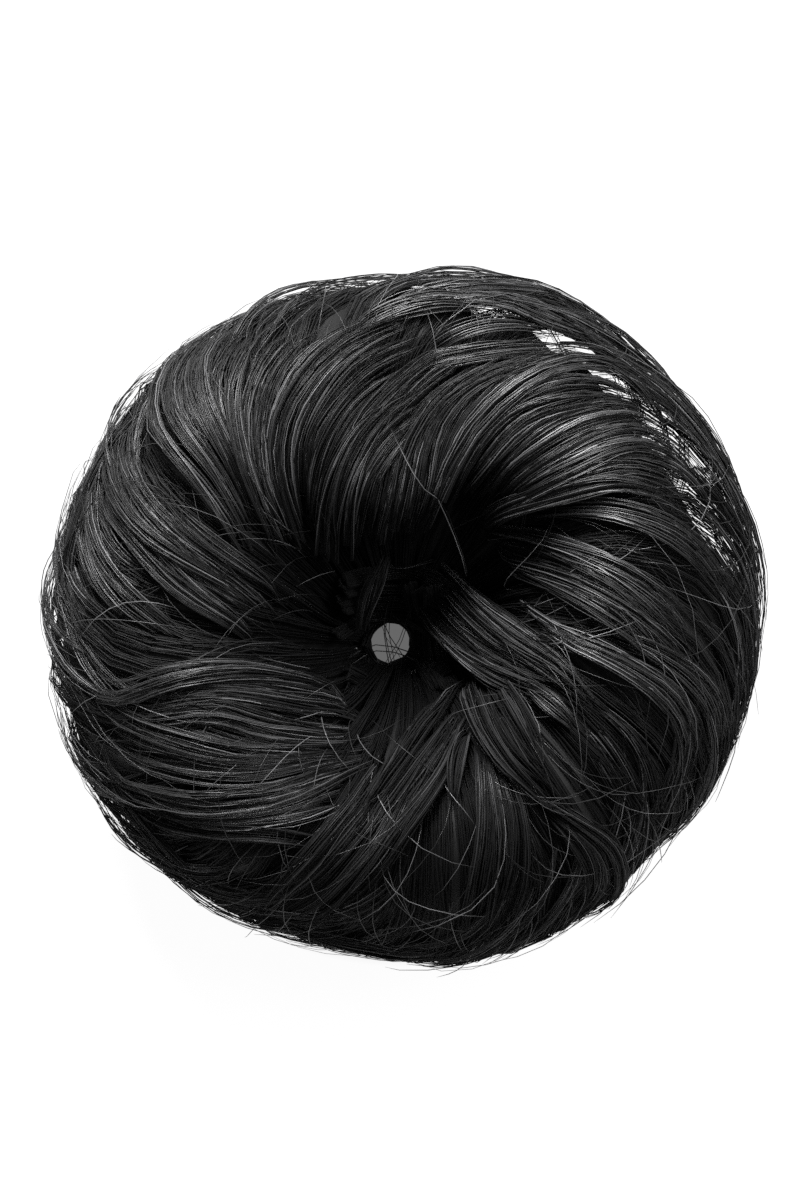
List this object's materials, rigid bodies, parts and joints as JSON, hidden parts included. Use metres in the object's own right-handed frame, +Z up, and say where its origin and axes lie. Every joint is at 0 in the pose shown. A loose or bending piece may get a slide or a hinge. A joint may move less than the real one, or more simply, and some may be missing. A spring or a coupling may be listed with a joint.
{
  "type": "top knot hairpiece",
  "caption": "Ring of straight black false hair on a covered elastic, swirled clockwise into a full messy bun with a small open middle.",
  "frame": {"origin": "on the resting plane, below the middle of the hairpiece's bounding box", "axes": "+Z up out of the side that shows when worn, +X to the right and +Y to the top of the picture"},
  "size_m": [0.1464, 0.143, 0.0556],
  "materials": {
    "black_hair": "satin",
    "covered_elastic": "matte"
  },
  "bodies": {
    "root": {"hair_base": "black_hair", "elastic_band": "covered_elastic", "lock_01": "black_hair", "lock_02": "black_hair", "lock_03": "black_hair", "lock_04": "black_hair", "lock_05": "black_hair", "lock_06": "black_hair", "lock_07": "black_hair", "lock_08": "black_hair", "lock_09": "black_hair", "lock_10": "black_hair", "lock_11": "black_hair", "lock_12": "black_hair", "lock_13": "black_hair", "lock_14": "black_hair", "lock_15": "black_hair", "lock_16": "black_hair", "lock_17": "black_hair", "lock_18": "black_hair", "lock_19": "black_hair", "lock_20": "black_hair", "lock_21": "black_hair", "lock_22": "black_hair", "lock_23": "black_hair", "lock_24": "black_hair", "lock_25": "black_hair"}
  },
  "joints": []
}
